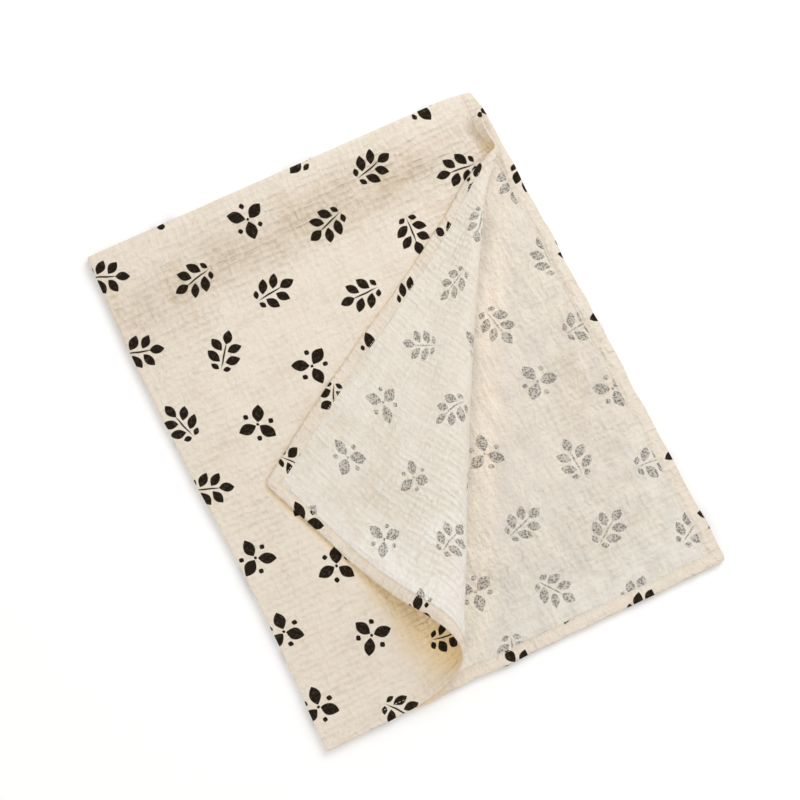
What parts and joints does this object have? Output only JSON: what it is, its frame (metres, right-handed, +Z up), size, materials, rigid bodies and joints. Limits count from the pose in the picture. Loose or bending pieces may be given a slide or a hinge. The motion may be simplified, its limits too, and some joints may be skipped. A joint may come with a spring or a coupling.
{
  "type": "folded swaddle blanket",
  "caption": "Crinkled double-gauze swaddle blanket folded in quarters and lying flat, one free corner turned back over an open loop to show the wrong side.",
  "frame": {"origin": "bottom centre of the folded blanket's bounding box, on the surface it lies on", "axes": "+X across the stack from its side fold to its open side, +Y along it towards the top fold, +Z up"},
  "size_m": [0.414, 0.5058, 0.0557],
  "materials": {
    "gauze": "matt crinkled cotton double gauze, cream with a dark brown print on its right side"
  },
  "bodies": {
    "root": {"swaddle_cloth": "gauze"}
  },
  "joints": []
}
